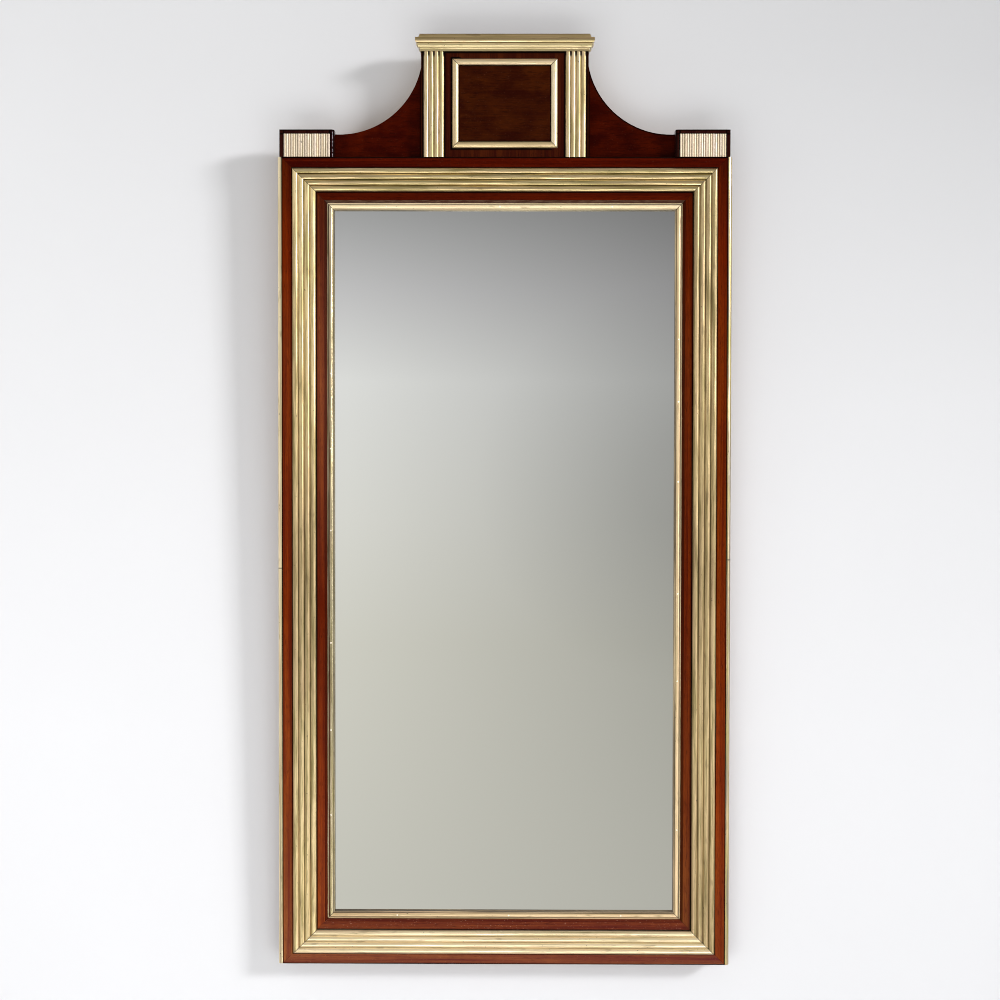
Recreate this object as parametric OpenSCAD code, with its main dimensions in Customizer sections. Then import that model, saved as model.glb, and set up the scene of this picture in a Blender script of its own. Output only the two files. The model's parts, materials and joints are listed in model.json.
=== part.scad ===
// Neoclassical wall mirror of mahogany with brass mounts.
// Every piece is modelled lying face up on the bench: X is to the right, Y is up the wall and Z comes
// towards the viewer, from the back of the frame at 0. on_wall() then hangs it, face towards -Y.

/* [Frame] */
// Width of the frame across its mahogany sides
frame_w = 623; // [500:1:800]
// Height of the frame from its underside to the foot of the crest
frame_h = 1132; // [950:1:1400]
// Depth of the pine carcass, from its back to the seat of the mouldings
carcass_t = 32; // [30:0.5:40]
// Thickness of the mahogany facing on the sides and the underside
facing_t = 2; // [1:0.5:3]
// Thickness of the tenons in the corner joints
tenon_t = 8; // [6:0.5:10]

/* [Bands and reeds] */
// Width of the outer mahogany band
outer_band_w = 14.7; // [10:0.1:18]
// Thickness of the outer mahogany band
outer_band_t = 8; // [6:0.5:10]
// Chamfer on the edges of the mahogany bands
arris = 0.6; // [0.3:0.1:1]
// Gap on each side of the reeded moulding
quirk = 0.5; // [0.3:0.1:0.8]
// Number of reeds in the face moulding
reed_count = 4; // [3:1:5]
// Distance from one reed of the face moulding to the next
reed_pitch = 8.2; // [7:0.1:9]
// Rise of a reed of the face moulding over the valley beside it
reed_rise = 3.2; // [2.6:0.1:3.4]
// Height of the reeded moulding over its seat on the carcass
reeded_t = 13; // [11:0.5:15]
// Thickness of the drawn brass
brass_t = 0.8; // [0.6:0.1:1]
// Room for the pitch between the drawn brass and its wooden core
core_gap = 0.15; // [0.1:0.05:0.3]
// Gap where two close pieces are laid side by side
close_gap = 0.1; // [0.05:0.05:0.2]
// Width of the inner mahogany band, with its slope
inner_band_w = 14.6; // [12:0.1:18]
// Thickness of the inner mahogany band
inner_band_t = 7.5; // [6:0.5:9]
// Width and depth of the slope on the inner band, next to the sight bead
slope_w = 3.5; // [2.5:0.5:4.5]

/* [Sight bead] */
// Width of the brass sight bead
bead_w = 10; // [9:0.5:12]
// Thickness of the flat part of the sight bead
bead_base_t = 1.5; // [1:0.1:2]
// Width of the round on the sight bead
bead_round_w = 6.4; // [5.4:0.2:7]
// Rise of the round on the sight bead
bead_rise = 2.6; // [2:0.1:3]
// Width of the flange that the sight bead turns down over the lip
bead_flange_w = 2.4; // [1.5:0.1:2.5]
// Radius of a brass pin
pin_r = 0.6; // [0.5:0.1:0.8]

/* [Edge strips] */
// Radius of the half-round brass strip on each side
strip_r = 5; // [4:0.5:6]
// How far the strip stands out of the side
strip_out = 5.5; // [4.5:0.5:6.5]
// Height of the seam in the left strip
seam_left = 558; // [400:1:800]
// Height of the seam in the right strip
seam_right = 571; // [400:1:800]

/* [Glass and back] */
// Thickness of the mirror plate
glass_t = 4; // [3:0.5:6]
// Thickness of the wooden lip in front of the plate
lip_t = 5; // [4:0.5:7]
// Width of the lip that covers the plate
lip_w = 10.5; // [8:0.5:12]
// Gap between the plate and the wall of its rebate
glass_gap = 2; // [1:0.5:3]
// Width of the ledge that the back boards are nailed to
ledge_w = 12; // [10:0.5:14]
// Thickness of the back boards
board_t = 6; // [5:0.5:8]
// How far the back boards lie in from the back of the frame
board_recess = 2; // [1.5:0.5:3]
// Gap between the back boards and round them
board_gap = 1; // [0.5:0.5:2]
// Length of a glazing block
glazing_l = 42; // [30:1:60]
// Width of a glazing block
glazing_w = 9; // [7:0.5:10]

/* [Crest] */
// Thickness of the crest board
crest_t = 12; // [10:0.5:16]
// Thickness of the veneer on the crest board
veneer_t = 1.5; // [1:0.5:2]
// Height of the crest board behind the corner blocks
shoulder_h = 35.2; // [28:0.2:40]
// How deep the scroll dips below the shoulder
scroll_dip = 1.3; // [1:0.1:2]
// Height of the scrolls' centres over the top of the tablet block
scroll_over = 4.8; // [0:0.2:8]
// Thickness of the battens behind the crest board
batten_t = 8.5; // [7:0.5:10]
// Width of a batten
batten_w = 36; // [28:1:44]
// Distance from the middle to the centre of a batten
batten_x = 60; // [50:1:80]
// Length of the batten that lies in the top rail
batten_foot = 41; // [36:1:44]
// Height of the batten above the frame
batten_head = 136; // [110:1:140]

/* [Tablet] */
// Width of the tablet block
tablet_w = 233.2; // [220:0.2:250]
// Height of the tablet block
tablet_h = 146.2; // [144:0.2:160]
// Depth of the tablet block in front of the crest veneer
tablet_t = 16; // [12:0.5:20]
// Width of a pilaster
pilaster_w = 28.4; // [24:0.2:32]
// Distance from the side of the tablet block to the pilaster
pilaster_edge = 3.6; // [1.5:0.1:5]
// Number of reeds in a pilaster
pilaster_reeds = 4; // [3:1:5]
// Rise of a pilaster reed over the valley beside it
pilaster_rise = 2.8; // [2:0.1:3]
// Thickness of the brass plate under the reeds of pilasters and plaques
plate_t = 1.2; // [1:0.1:2]
// Width of the tablet moulding from outside to outside
tablet_ring_w = 146.8; // [130:0.2:152]
// Height of the tablet moulding from outside to outside
tablet_ring_h = 124; // [110:0.2:132]
// How far the tablet moulding lies above the middle of its block
tablet_ring_up = 1.5; // [0:0.1:3]
// Width of the tablet moulding's brass bead
tablet_bead_w = 9.2; // [8:0.2:10]
// Rise of the tablet moulding over the block
tablet_bead_rise = 4; // [3:0.2:4.4]
// Thickness of the veneer panel inside the tablet moulding
panel_t = 0.8; // [0.6:0.1:1.2]

/* [Corner blocks] */
// Width of a corner block
block_w = 76; // [66:1:80]
// Height of a corner block
block_h = 37.5; // [36:0.5:44]
// Depth of a corner block in front of the crest veneer
block_t = 23; // [20:0.5:28]
// Chamfer on the inner front edge of a corner block
block_chamfer = 2.6; // [1:0.2:4]
// How far a corner block overhangs the side of the frame
block_over = 2; // [1:0.5:5]
// Mahogany border left at the sides of a plaque
plaque_side = 5.8; // [4:0.2:8]
// Mahogany border left over a plaque
plaque_top = 5.9; // [3:0.1:8]
// Depth of the recess that a plaque lies in
plaque_recess = 2; // [1.5:0.1:2.4]
// Gap between a plaque and the border round it
plaque_gap = 1; // [0.5:0.1:1.5]
// Number of reeds in a plaque
plaque_reeds = 20; // [16:1:22]
// Rise of a plaque reed over the valley beside it
plaque_rise = 1.2; // [0.9:0.1:1.3]

/* [Cornice] */
// Overhang of the cornice's lower edge over the block and the pilasters
cornice_base_out = 1.1; // [1:0.1:3]
// Height of the cornice's lower fillet
cornice_foot_h = 1.2; // [0.8:0.1:2.4]
// Projection of the lower fillet in front of the hollow
cornice_foot_out = 0.4; // [0.2:0.1:0.8]
// Height of the cornice's hollow
hollow_h = 3.8; // [3:0.1:5]
// Projection of the hollow from its foot to its head
hollow_out = 1.8; // [1:0.1:2.6]
// Height of the lower round over the hollow
lower_round_h = 5; // [4:0.1:6]
// Projection of the lower round's head in front of the hollow's head
lower_round_out = 2.6; // [2:0.1:3.4]
// Set-back of the lower round at its foot
lower_round_in = 2.2; // [1.4:0.1:2.4]
// Height and depth of the groove over the lower round
cornice_groove = 1.2; // [0.6:0.1:1.6]
// Height of the upper round over the groove
upper_round_h = 3.6; // [2.6:0.1:4.4]
// Set-back of the upper round at its foot
upper_round_in = 1.7; // [1:0.1:2.4]
// Projection of the fillet over the upper round in front of the lower round
cornice_fillet_out = 2.9; // [2:0.1:4]
// Height of the fillet over the upper round
cornice_fillet_h = 3.2; // [2:0.1:4]
// Depth of the ledge on top of the fillet
cornice_ledge = 4.1; // [3:0.1:5]
// Height of the sloping head over the ledge
cornice_head_h = 5.7; // [4:0.1:7]
// Set-back of the sloping head from foot to top
cornice_head_in = 2.1; // [1:0.1:3]
// Thickness of the brass moulding behind its lower edge
cornice_stock = 8; // [6:0.5:10]

/* [Hangers] */
// Distance from the foot of the crest down to the hinge of a hanging ring
hanger_drop = 169; // [120:1:300]
// Width of a hanger strap
strap_w = 14; // [12:0.5:18]
// Thickness of a hanger strap
strap_t = 1.5; // [1.2:0.1:2]
// Length of a strap below its hinge
strap_l = 50; // [46:1:60]
// Radius of the ring's wire
wire_r = 2; // [1.6:0.1:2.4]
// Radial clearance of the ring's bar in the strap's loop
loop_gap = 0.08; // [0.05:0.01:0.1]
// Distance from a side of the strap to the bend of the ring
ring_side = 2; // [1:0.5:4]
// Radius of the bends between the bar and the bow
bend_r = 4; // [3:0.5:5]

/* [Screws and nails] */
// Length of a wood screw
screw_l = 18; // [14:1:18]
// Radius of a screw's shank
screw_r = 1.7; // [1.4:0.1:2]
// Radius of a screw's head
screw_head_r = 3.4; // [3:0.1:4]
// Length of a back-board nail
nail_l = 16; // [12:1:20]
// Radius of a nail
nail_r = 1; // [0.8:0.1:1.3]
// Radius of a nail's head
nail_head_r = 2.4; // [2:0.1:3]
// Clearance of screws, nails and pins in their holes
hole_gap = 0.05; // [0.03:0.01:0.1]

/* [Hidden] */
$fn = 64;
mahogany = [0.36, 0.13, 0.05];
brass = [0.80, 0.68, 0.42];
pine = [0.76, 0.62, 0.43];
iron = [0.30, 0.29, 0.28];
silvered = [0.78, 0.80, 0.79];
SIDES = ["bottom", "right", "top", "left"];

// Distances inwards from the outside of the frame, called u
reeded_w = reed_count * reed_pitch;
u_reeds = outer_band_w + quirk;
u_inner = u_reeds + reeded_w + quirk;
u_bead = u_inner + inner_band_w + close_gap;
u_sight = u_bead + bead_w;
u_lip = u_sight - bead_flange_w - close_gap;
u_rebate = u_lip - lip_w;
u_ledge = u_rebate - ledge_w;

// Heights over the back of the frame
h_ledge = board_recess + board_t;
h_lip = carcass_t - lip_t;
h_glass = h_lip - glass_t;
h_tenon = (h_ledge + h_lip - tenon_t) / 2;
crest_face = batten_t + crest_t + veneer_t;
tablet_face = crest_face + tablet_t;
block_face = crest_face + block_t;

// Height of the hinge of a hanging ring
hanger_y = frame_h - hanger_drop;

// Height of the wall's contact point: the middle of the bottom rail's back
rest_y = (facing_t + u_ledge) / 2;

// Where the pins of the sight bead are driven, from the underside of the frame or from the middle
pins_left = [210, 330, 453, 611, 726, 831];
pins_right = [190, 400, 523, 680, 792, 879];
pins_rail = [-150, 7, 165];

// Radius of a round of a given width and rise
function round_r(w, rise) = (w * w / 4 + rise * rise) / (2 * rise);
// How far a square that cuts the foot of a round reaches past the round's crest
over_crest = 1;

// Placing

// Hangs a piece that lies on the bench: its back faces the wall and the rest point is the origin.
module on_wall() {
    translate([0, 0, -rest_y]) rotate([90, 0, 0]) children();
}

// Sets a member, which runs along X with its outside at Y 0, on one side of a w by h rectangle.
module on_side(side, w, h) {
    if (side == "bottom") translate([-w / 2, 0, 0]) children();
    if (side == "right") translate([w / 2, 0, 0]) rotate(90) children();
    if (side == "top") translate([w / 2, h, 0]) rotate(180) children();
    if (side == "left") translate([-w / 2, h, 0]) rotate(-90) children();
}

// Mirrors a left-hand piece to the side that dir gives: -1 is the left, 1 the right.
module to_side(dir) {
    if (dir > 0) mirror([1, 0, 0]) children();
    else children();
}

// Draws a section, given as distance inwards and height, along a member with mitred ends.
// open leaves that much free at each mitre.
module mitred(length, reach, open) {
    past = 10;
    tall = 100;
    intersection() {
        rotate([90, 0, 90]) linear_extrude(length) children();
        linear_extrude(tall) polygon([[open - past, -past], [length + past - open, -past],
            [length - reach - open, reach], [reach + open, reach]]);
    }
}

// Runs a section round one side of the frame.
module frame_member(side, open = 0) {
    length = side == "bottom" || side == "top" ? frame_w : frame_h;
    on_wall() on_side(side, frame_w, frame_h) mitred(length, u_sight + quirk, open) children();
}

// Runs a section round one side of the tablet moulding.
module tablet_member(side) {
    length = side == "bottom" || side == "top" ? tablet_ring_w : tablet_ring_h;
    on_wall() translate([0, frame_h + (tablet_h - tablet_ring_h) / 2 + tablet_ring_up, 0])
        on_side(side, tablet_ring_w, tablet_ring_h) mitred(length, tablet_bead_w + quirk, 0) children();
}

// Sections

// Pine member: lip in front of the glass, rebate for the plate and ledge for the back boards.
module carcass_section(outside) {
    polygon([[outside, 0], [u_ledge, 0], [u_ledge, h_ledge], [u_rebate, h_ledge], [u_rebate, h_lip],
        [u_lip, h_lip], [u_lip, carcass_t], [outside, carcass_t]]);
}

module outer_band_section() {
    top = carcass_t + outer_band_t;
    polygon([[0, carcass_t], [0, top - arris], [arris, top], [outer_band_w - arris, top],
        [outer_band_w, top - arris], [outer_band_w, carcass_t]]);
}

module inner_band_section() {
    top = carcass_t + inner_band_t;
    far = u_inner + inner_band_w;
    polygon([[u_inner, carcass_t], [u_inner, top - arris], [u_inner + arris, top],
        [far - slope_w, top], [far, top - slope_w], [far, carcass_t]]);
}

// A row of reeds of equal pitch on a flat foot, from x = 0. inset makes it the surface inside a shell.
// The bed between full reeds stops below their valleys, inside the laps of the rounds.
module reed_row(count, pitch, rise, height, inset, foot) {
    r = round_r(pitch, rise);
    valley = height - rise;
    bed = inset > 0 ? valley - inset : max(valley - (r - rise) / 2, (foot + valley) / 2);
    intersection() {
        translate([inset, foot]) square([count * pitch - 2 * inset, height + over_crest - foot]);
        union() {
            translate([0, foot]) square([count * pitch, bed - foot]);
            for (i = [0 : count - 1])
                translate([(i + 0.5) * pitch, height - r]) circle(r = r - inset);
        }
    }
}

// The drawn brass shell of the face moulding, in place across the member.
module reeded_shell_section() {
    translate([u_reeds, carcass_t]) difference() {
        reed_row(reed_count, reed_pitch, reed_rise, reeded_t, 0, 0);
        reed_row(reed_count, reed_pitch, reed_rise, reeded_t, brass_t, -1);
    }
}

module reeded_core_section() {
    translate([u_reeds, carcass_t])
        reed_row(reed_count, reed_pitch, reed_rise, reeded_t, brass_t + core_gap, 0);
}

// Flat drawn brass with a round along its middle and a flange down over the lip.
module sight_bead_section() {
    r = round_r(bead_round_w, bead_rise);
    top = carcass_t + bead_base_t;
    translate([u_bead, carcass_t]) square([bead_w, bead_base_t]);
    translate([u_sight - bead_flange_w, h_lip + 0.3])
        square([bead_flange_w, lip_t + bead_base_t / 2 - 0.3]);
    intersection() {
        translate([u_bead + bead_w / 2, top + bead_rise - r]) circle(r = r);
        translate([u_bead, top - bead_base_t / 2]) square([bead_w, bead_base_t + bead_rise + over_crest]);
    }
}

// Half-round strip against the side, with its middle behind the front of the outer band.
module edge_strip_section() {
    intersection() {
        translate([strip_r - strip_out, carcass_t + outer_band_t - strip_r - arris]) circle(r = strip_r);
        translate([-2 * strip_out, 0]) square([2 * strip_out, carcass_t + outer_band_t]);
    }
}

module tablet_bead_section() {
    r = round_r(tablet_bead_w, tablet_bead_rise);
    intersection() {
        translate([tablet_bead_w / 2, tablet_face + tablet_bead_rise - r]) circle(r = r);
        translate([0, tablet_face]) square([tablet_bead_w, tablet_bead_rise + over_crest]);
    }
}

// Fasteners

// A countersunk slotted wood screw, head up, with its head flush at height 0.
module wood_screw() {
    head_h = screw_head_r - screw_r;
    tip_h = 3;
    difference() {
        union() {
            translate([0, 0, -head_h]) cylinder(h = head_h, r1 = screw_r, r2 = screw_head_r);
            translate([0, 0, -screw_l + tip_h]) cylinder(h = screw_l - tip_h - head_h, r = screw_r);
            translate([0, 0, -screw_l]) cylinder(h = tip_h, r1 = 0.3, r2 = screw_r);
        }
        translate([0, 0, 0.5]) cube([3 * screw_head_r, 0.9, 2.4], center = true);
    }
}

// The hole for a wood screw, which a piece under its head shares.
module screw_hole() {
    head_h = screw_head_r - screw_r;
    over = 1;
    translate([0, 0, -head_h - hole_gap])
        cylinder(h = head_h + over, r1 = screw_r + hole_gap, r2 = screw_head_r + hole_gap + over);
    translate([0, 0, -screw_l - hole_gap]) cylinder(h = screw_l, r = screw_r + hole_gap);
}

// Places its children as screws driven from the back, head towards the wall.
module at_screws(places, head_z) {
    for (p = places) translate([p[0], p[1], head_z]) rotate([180, 0, 0]) children();
}

// Centres of the screws of one hanger, from its hinge: one inside the ring and two below it.
function hanger_x() = frame_w / 2 - (facing_t + u_ledge) / 2;
function strap_screws(dir) = [for (drop = [9.5, strap_l - 20, strap_l - 7])
    [dir * hanger_x(), hanger_y - drop]];
// Centres of the screws of one batten: two in the rail and three in the crest board.
function batten_screws(dir) = [for (y = [12 - batten_foot, -12, 18, batten_head / 2 + 6, batten_head - 12])
    [dir * batten_x, frame_h + y]];

// Back boards, one above the other, and their nails: three at each end of every board, on the ledge.
board_count = 3;
board_l = frame_w - 2 * u_ledge - 2 * board_gap;
board_w = (frame_h - 2 * u_ledge - (board_count + 1) * board_gap) / board_count;
function board_y(i) = u_ledge + board_gap + i * (board_w + board_gap);
nail_x = frame_w / 2 - u_ledge - ledge_w / 2;
nail_in = 35;
nail_places = [for (i = [0 : board_count - 1], dir = [-1, 1], y = [nail_in, board_w / 2, board_w - nail_in])
    [dir * nail_x, board_y(i) + y]];

module nail(gap) {
    head_t = 0.8;
    translate([0, 0, board_recess - head_t]) cylinder(h = head_t, r = nail_head_r);
    translate([0, 0, board_recess]) cylinder(h = nail_l + gap, r = nail_r + gap);
}

// Pins of the sight bead, as places on the bench, in the middle of its round.
pin_u = u_bead + bead_w / 2;
pin_places = concat(
    [for (y = pins_left) [-frame_w / 2 + pin_u, y]],
    [for (y = pins_right) [frame_w / 2 - pin_u, y]],
    [for (x = pins_rail) [x, pin_u]],
    [for (x = pins_rail) [-x, frame_h - pin_u]]);

// A gap makes it the pin's hole, which runs out over the round's crest.
module pin(gap) {
    top = carcass_t + bead_base_t + bead_rise;
    foot = h_lip + lip_t / 4;
    past = gap > 0 ? over_crest : 0;
    turned = 30;
    rotate(turned) translate([0, 0, foot]) cylinder(h = top + past - foot, r = pin_r + gap);
    if (gap == 0) translate([0, 0, top]) cylinder(h = pin_r / 2, r1 = 2 * pin_r, r2 = pin_r);
}

module pin_holes() {
    for (p = pin_places) translate([p[0], p[1], 0]) pin(hole_gap);
}

module nail_holes() {
    for (p = nail_places) translate([p[0], p[1], 0]) nail(hole_gap);
}

// Carcass

module stile(dir) {
    end = u_rebate;
    color(pine) on_wall() difference() {
        to_side(dir) translate([-frame_w / 2, frame_h, 0]) rotate([90, 0, 0])
            linear_extrude(frame_h - facing_t) carcass_section(facing_t);
        for (y = [-1, frame_h - end])
            to_side(dir) translate([-frame_w / 2 - 1, y, h_tenon]) cube([end + 2, end + 1, tenon_t]);
        at_screws(strap_screws(dir), -strap_t) screw_hole();
        nail_holes();
        pin_holes();
    }
}

// Shoulders and tenons of a rail, seen from its edge: the shoulders step with the stile's rebates.
module rail_plan() {
    half = frame_w / 2;
    translate([u_lip - half, h_lip]) square([2 * (half - u_lip), lip_t + 1]);
    translate([u_rebate - half, h_ledge]) square([2 * (half - u_rebate), h_lip - h_ledge]);
    translate([u_ledge - half, -1]) square([2 * (half - u_ledge), h_ledge + 1]);
    translate([facing_t - half, h_tenon]) square([2 * (half - facing_t), tenon_t]);
}

module rail_blank(outside) {
    intersection() {
        translate([-frame_w / 2, 0, 0]) rotate([90, 0, 90]) linear_extrude(frame_w)
            carcass_section(outside);
        translate([0, u_sight, 0]) rotate([90, 0, 0]) linear_extrude(u_sight + 1) rail_plan();
    }
}

module rail_bottom() {
    color(pine) on_wall() difference() {
        rail_blank(facing_t);
        pin_holes();
    }
}

module rail_top() {
    side_gap = 0.2;
    color(pine) on_wall() difference() {
        translate([0, frame_h, 0]) mirror([0, 1, 0]) rail_blank(0);
        for (dir = [-1, 1])
            translate([dir * batten_x - batten_w / 2 - side_gap, frame_h - batten_foot - side_gap, -1])
                cube([batten_w + 2 * side_gap, batten_foot + 1, batten_t + 1]);
        for (dir = [-1, 1]) at_screws(batten_screws(dir), 0) screw_hole();
        pin_holes();
    }
}

module side_facing(dir) {
    color(mahogany) on_wall() to_side(dir)
        translate([-frame_w / 2, 0, 0]) cube([facing_t, frame_h, carcass_t]);
}

module bottom_facing() {
    color(mahogany) on_wall()
        translate([facing_t - frame_w / 2, 0, 0]) cube([frame_w - 2 * facing_t, facing_t, carcass_t]);
}

// Face of the frame

module outer_band(side) {
    color(mahogany) frame_member(side) outer_band_section();
}

module inner_band(side) {
    color(mahogany) frame_member(side) inner_band_section();
}

module reeded_moulding(side) {
    color(brass) frame_member(side) reeded_shell_section();
}

module reeded_cores() {
    color(pine) for (side = SIDES) frame_member(side, core_gap) reeded_core_section();
}

module sight_bead(side) {
    color(brass) difference() {
        frame_member(side) sight_bead_section();
        on_wall() pin_holes();
    }
}

module bead_pins() {
    color(brass) on_wall() for (p = pin_places) translate([p[0], p[1], 0]) pin(0);
}

// One length of the strip on a side, from one height to another.
module edge_strip(dir, from, to) {
    color(brass) on_wall() to_side(dir) translate([-frame_w / 2, to, 0]) rotate([90, 0, 0])
        linear_extrude(to - from) edge_strip_section();
}

seam_gap = 0.3;
module edge_strip_left_lower() edge_strip(-1, 0, seam_left);
module edge_strip_left_upper() edge_strip(-1, seam_left + seam_gap, frame_h);
module edge_strip_right_lower() edge_strip(1, 0, seam_right);
module edge_strip_right_upper() edge_strip(1, seam_right + seam_gap, frame_h);

// Glass and back

module mirror_plate() {
    u = u_rebate + glass_gap;
    color(silvered) on_wall()
        translate([u - frame_w / 2, u, h_glass]) cube([frame_w - 2 * u, frame_h - 2 * u, glass_t]);
}

// A block in the rebate: it holds the plate against the lip and is glued to the rebate's wall.
module glazing_block(side, along) {
    low = h_ledge + board_gap;
    on_side(side, frame_w, frame_h)
        translate([along - glazing_l / 2, u_rebate, 0]) rotate([90, 0, 90]) linear_extrude(glazing_l)
            polygon([[0, low], [glazing_w / 2, low], [glazing_w, h_glass], [0, h_glass]]);
}

module glazing_blocks() {
    color(pine) on_wall() {
        for (side = ["left", "right"], share = [0.14, 0.38, 0.62, 0.86])
            glazing_block(side, frame_h * share);
        for (side = ["bottom", "top"], share = [0.3, 0.7])
            glazing_block(side, frame_w * share);
    }
}

module back_board(i) {
    color(pine) on_wall() difference() {
        translate([-board_l / 2, board_y(i), board_recess]) cube([board_l, board_w, board_t]);
        nail_holes();
    }
}

module back_nails() {
    color(iron) on_wall() for (p = nail_places) translate([p[0], p[1], 0]) nail(0);
}

// Crest

scroll_r = tablet_h + scroll_over - shoulder_h + scroll_dip;
scroll_in = 1.6;

// Outline of the crest: two low shoulders and a stem, joined by quarter-round hollows.
module crest_outline() {
    half = frame_w / 2 - facing_t;
    stem = tablet_w / 2 - scroll_in;
    difference() {
        union() {
            translate([-half, 0]) square([2 * half, shoulder_h]);
            translate([-stem - scroll_r, 0]) square([2 * (stem + scroll_r), tablet_h]);
        }
        for (dir = [-1, 1]) {
            translate([dir * (stem + scroll_r), tablet_h + scroll_over])
                circle(r = scroll_r, $fn = 180);
            translate([dir * (stem + scroll_r + tablet_h / 2), shoulder_h + tablet_h / 2])
                square([tablet_h, tablet_h], center = true);
        }
    }
}

module crest_board() {
    color(pine) on_wall() difference() {
        translate([0, frame_h, batten_t]) linear_extrude(crest_t) crest_outline();
        for (dir = [-1, 1]) at_screws(batten_screws(dir), 0) screw_hole();
    }
}

module crest_veneer() {
    color(mahogany) on_wall()
        translate([0, frame_h, batten_t + crest_t]) linear_extrude(veneer_t) crest_outline();
}

module crest_batten(dir) {
    color(pine) on_wall() difference() {
        translate([dir * batten_x - batten_w / 2, frame_h - batten_foot, 0])
            cube([batten_w, batten_foot + batten_head, batten_t]);
        at_screws(batten_screws(dir), 0) screw_hole();
    }
}

// Tablet

module tablet_block() {
    color(mahogany) on_wall()
        translate([-tablet_w / 2, frame_h, crest_face]) cube([tablet_w, tablet_h, tablet_t]);
}

module tablet_panel() {
    w = tablet_ring_w - 2 * tablet_bead_w;
    h = tablet_ring_h - 2 * tablet_bead_w;
    color(mahogany) on_wall()
        translate([-w / 2, frame_h + (tablet_h - h) / 2 + tablet_ring_up, tablet_face])
            cube([w, h, panel_t]);
}

module tablet_moulding(side) {
    color(brass) tablet_member(side) tablet_bead_section();
}

// Upright reeds on a flat brass plate, standing on the top of the frame.
module reeded_plate(left, height, count, pitch, rise, face) {
    color(brass) on_wall() translate([left, frame_h + height, face]) rotate([90, 0, 0])
        linear_extrude(height) reed_row(count, pitch, rise, plate_t + rise, 0, 0);
}

module pilaster(dir) {
    left = dir > 0 ? tablet_w / 2 - pilaster_edge - pilaster_w : -tablet_w / 2 + pilaster_edge;
    pitch = pilaster_w / pilaster_reeds;
    reeded_plate(left, tablet_h, pilaster_reeds, pitch, pilaster_rise, tablet_face);
}

// Corner blocks

block_left = -frame_w / 2 - block_over;

plaque_w = block_w - 2 * plaque_side;
plaque_h = block_h - plaque_top;

// A block whose border stands round the plaque on three sides, chamfered where the crest begins.
module corner_block(dir) {
    recess = [plaque_w + 2 * plaque_gap, plaque_h + plaque_gap + 1, plaque_recess + 1];
    color(mahogany) on_wall() to_side(dir) translate([block_left, frame_h, crest_face]) difference() {
        translate([0, block_h, 0]) rotate([90, 0, 0]) linear_extrude(block_h)
            polygon([[0, 0], [block_w, 0], [block_w, block_t - block_chamfer],
                [block_w - block_chamfer, block_t], [0, block_t]]);
        translate([plaque_side - plaque_gap, -1, block_t - plaque_recess]) cube(recess);
    }
}

module corner_plaque(dir) {
    left = dir > 0 ? -block_left - block_w + plaque_side : block_left + plaque_side;
    face = block_face - plaque_recess;
    reeded_plate(left, plaque_h, plaque_reeds, plaque_w / plaque_reeds, plaque_rise, face);
}

// Cornice

// Its lower edge is a rectangle round the block and the pilasters; the section stands out of it.
cornice_half = tablet_w / 2 + cornice_base_out - cornice_foot_out;
cornice_front_h = tablet_face + plate_t + pilaster_rise + cornice_base_out - cornice_foot_out;
cornice_widest = hollow_out + lower_round_out + cornice_fillet_out;
upper_round_y = cornice_foot_h + hollow_h + lower_round_h + cornice_groove;
cornice_ledge_y = upper_round_y + upper_round_h + cornice_fillet_h;
cornice_h = cornice_ledge_y + cornice_head_h;

// A layer of the section from the moulding's back to its face.
module layer(y, height, out) {
    translate([-cornice_stock, y]) square([cornice_stock + out, height]);
}

// A rounded layer: at its full projection at its head, set in at its foot.
module rounded_layer(y, height, out, set_in) {
    round_r = (set_in * set_in + height * height) / (2 * set_in);
    intersection() {
        layer(y, height, out);
        union() {
            translate([out - round_r, y + height]) circle(r = round_r);
            layer(y, height, out - round_r);
        }
    }
}

// Foot, hollow, lower round, groove, upper round, fillet and head, as distance outwards and height.
module cornice_section() {
    hollow_r = (hollow_out * hollow_out + hollow_h * hollow_h) / (2 * hollow_out);
    lower_round_y = cornice_foot_h + hollow_h;
    groove_y = lower_round_y + lower_round_h;
    head_x = cornice_widest - cornice_ledge;
    layer(0, cornice_foot_h, cornice_foot_out);
    difference() {
        layer(cornice_foot_h, hollow_h, hollow_out);
        translate([hollow_r, cornice_foot_h]) circle(r = hollow_r);
    }
    rounded_layer(lower_round_y, lower_round_h, hollow_out + lower_round_out, lower_round_in);
    layer(groove_y, cornice_groove, hollow_out + lower_round_out - cornice_groove);
    rounded_layer(upper_round_y, upper_round_h, cornice_widest, upper_round_in);
    layer(upper_round_y + upper_round_h, cornice_fillet_h, cornice_widest);
    polygon([
        [-cornice_stock, cornice_ledge_y],
        [head_x, cornice_ledge_y],
        [head_x - cornice_head_in, cornice_h],
        [-cornice_stock, cornice_h]
    ]);
}

// Keeps what lies over an outline in plan, given as X and distance from the wall.
module over_plan(points) {
    translate([0, cornice_h + 1, 0]) rotate([90, 0, 0]) linear_extrude(cornice_h + 2) polygon(points);
}

// Ends of the mitre in plan: well inside the moulding's back, and well past its front.
mitre_in = [cornice_half - cornice_stock - 1, cornice_front_h - cornice_stock - 1];
mitre_past = 12;
mitre_out = [cornice_half + mitre_past, cornice_front_h + mitre_past];

module cornice_front() {
    color(brass) on_wall() translate([0, frame_h + tablet_h, 0]) intersection() {
        translate([-mitre_out[0], 0, cornice_front_h]) rotate([90, 0, 90])
            linear_extrude(2 * mitre_out[0]) mirror([1, -1, 0]) cornice_section();
        over_plan([[-mitre_in[0], mitre_in[1]], mitre_in, mitre_out, [-mitre_out[0], mitre_out[1]]]);
    }
}

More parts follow.
